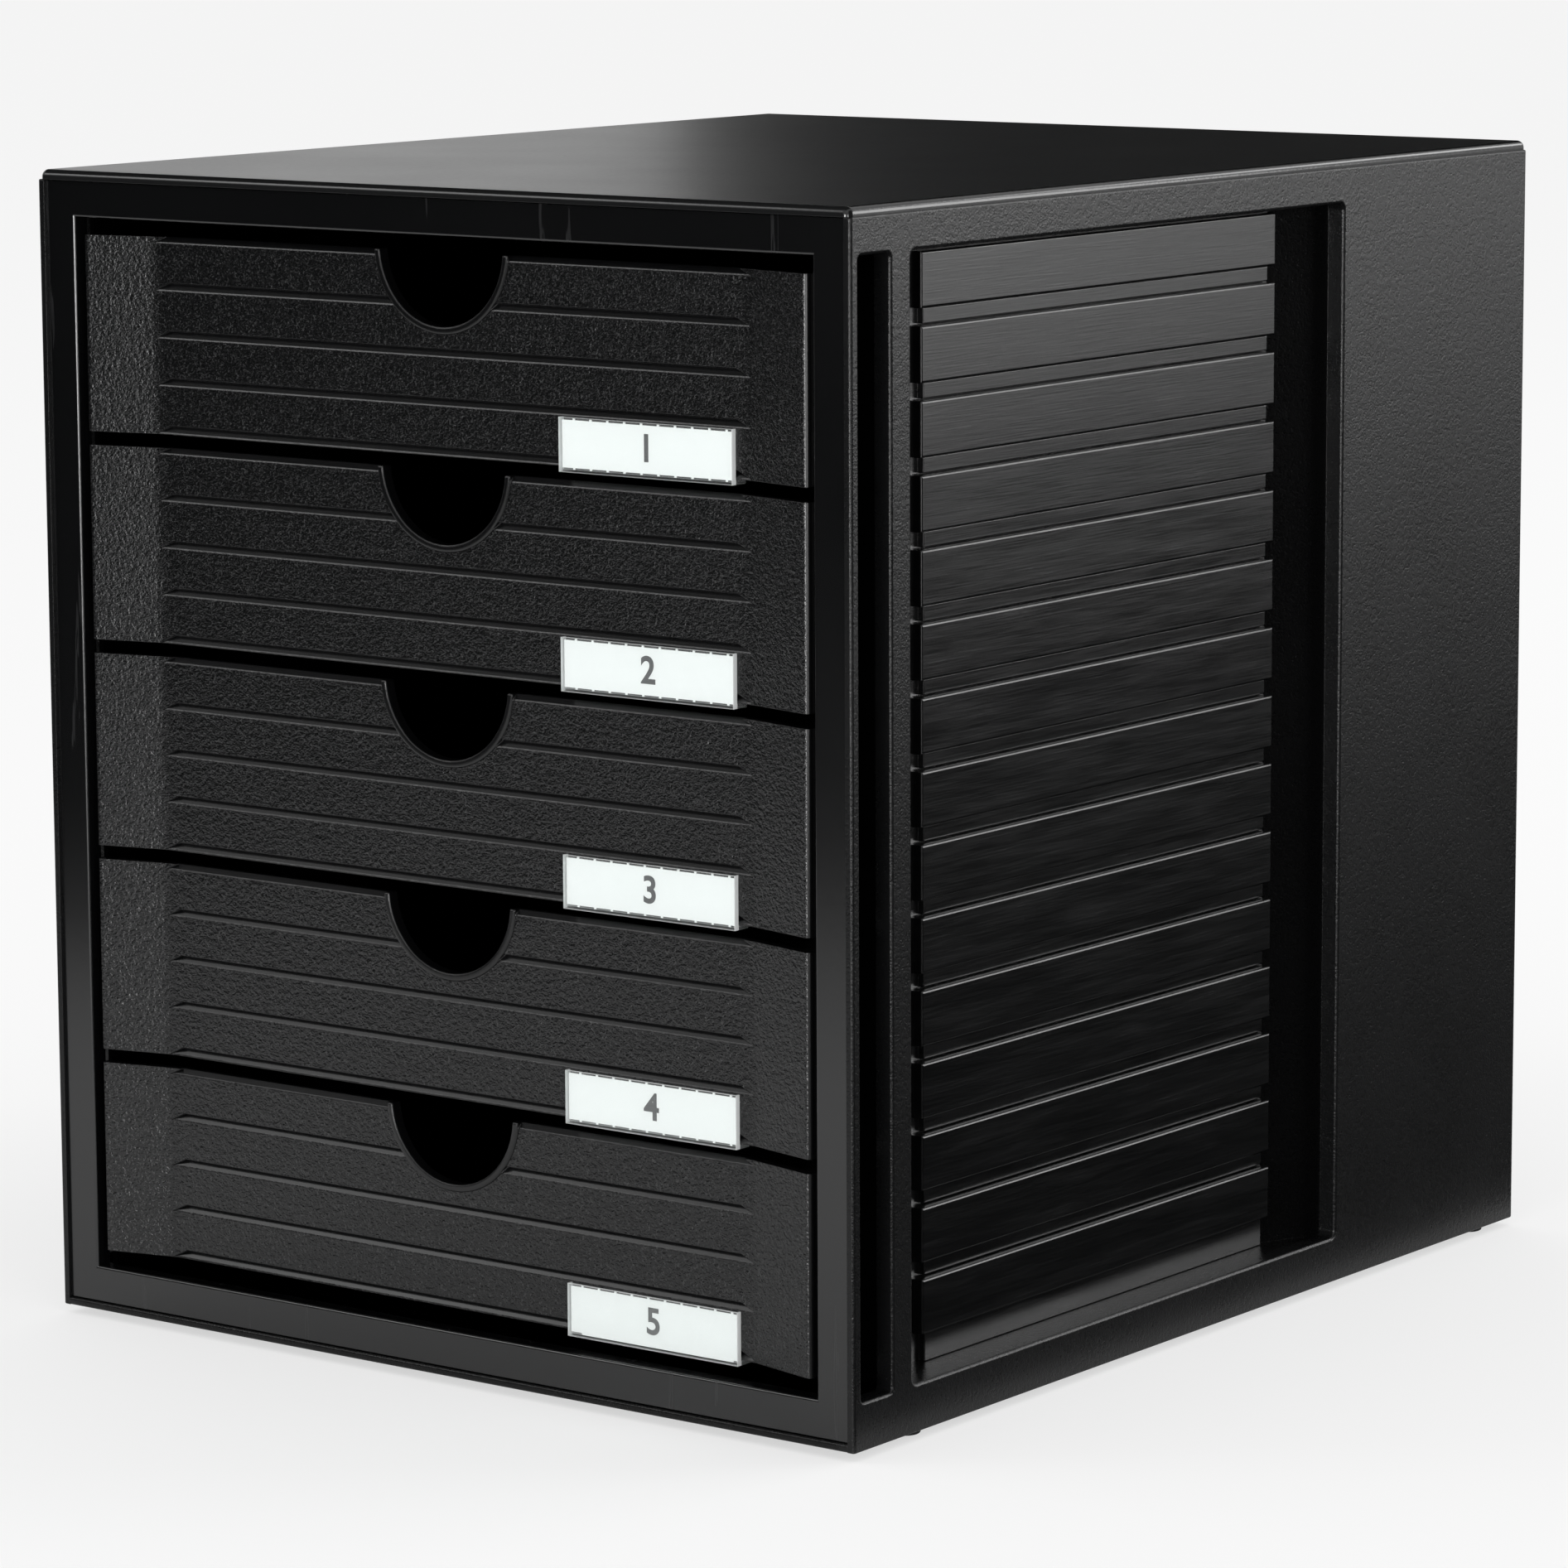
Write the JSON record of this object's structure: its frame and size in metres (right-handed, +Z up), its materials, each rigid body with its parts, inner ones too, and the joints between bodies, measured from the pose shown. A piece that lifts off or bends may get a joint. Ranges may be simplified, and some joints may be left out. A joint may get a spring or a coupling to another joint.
{
  "type": "desktop drawer unit",
  "caption": "Closed desktop drawer unit with slide-out trays, concave louvred fronts with thumb notches, clear-covered label cards, and a slatted finger recess in each side.",
  "frame": {"origin": "on the table, under the middle of the casing", "axes": "+X to the right side, -Y towards the drawer fronts, +Z up"},
  "size_m": [0.275, 0.33, 0.32],
  "materials": {
    "casing_plastic": "fine sand texture, black",
    "rail_plastic": "satin black with a horizontal brushed sheen on the slats",
    "frame_plastic": "smooth satin black",
    "drawer_plastic": "sand-grained bands with smooth louvre slopes, black",
    "foot_rubber": "smooth matt black",
    "clear_cover": "clear polished polystyrene",
    "white_card": "uncoated white card with perforated edges"
  },
  "bodies": {
    "casing": {"top_panel": "casing_plastic", "bottom_panel": "casing_plastic", "back_panel": "casing_plastic", "left_side_panel": "casing_plastic", "right_side_panel": "casing_plastic", "left_rail_panel": "rail_plastic", "right_rail_panel": "rail_plastic", "front_frame": "frame_plastic", "foot_front_left": "foot_rubber", "foot_front_right": "foot_rubber", "foot_back_left": "foot_rubber", "foot_back_right": "foot_rubber"},
    "sliding_drawer_1": {"drawer_1": "drawer_plastic", "label_cover_1": "clear_cover", "label_card_1": "white_card"},
    "sliding_drawer_2": {"drawer_2": "drawer_plastic", "label_cover_2": "clear_cover", "label_card_2": "white_card"},
    "sliding_drawer_3": {"drawer_3": "drawer_plastic", "label_cover_3": "clear_cover", "label_card_3": "white_card"},
    "sliding_drawer_4": {"drawer_4": "drawer_plastic", "label_cover_4": "clear_cover", "label_card_4": "white_card"},
    "sliding_drawer_5": {"drawer_5": "drawer_plastic", "label_cover_5": "clear_cover", "label_card_5": "white_card"}
  },
  "joints": [
    {"name": "drawer_1_slide", "type": "slide", "parent": "casing", "child": "sliding_drawer_1", "axis": [0, -1, 0], "range_m": [0, 0.24]},
    {"name": "drawer_2_slide", "type": "slide", "parent": "casing", "child": "sliding_drawer_2", "axis": [0, -1, 0], "range_m": [0, 0.24]},
    {"name": "drawer_3_slide", "type": "slide", "parent": "casing", "child": "sliding_drawer_3", "axis": [0, -1, 0], "range_m": [0, 0.24]},
    {"name": "drawer_4_slide", "type": "slide", "parent": "casing", "child": "sliding_drawer_4", "axis": [0, -1, 0], "range_m": [0, 0.24]},
    {"name": "drawer_5_slide", "type": "slide", "parent": "casing", "child": "sliding_drawer_5", "axis": [0, -1, 0], "range_m": [0, 0.24]}
  ]
}
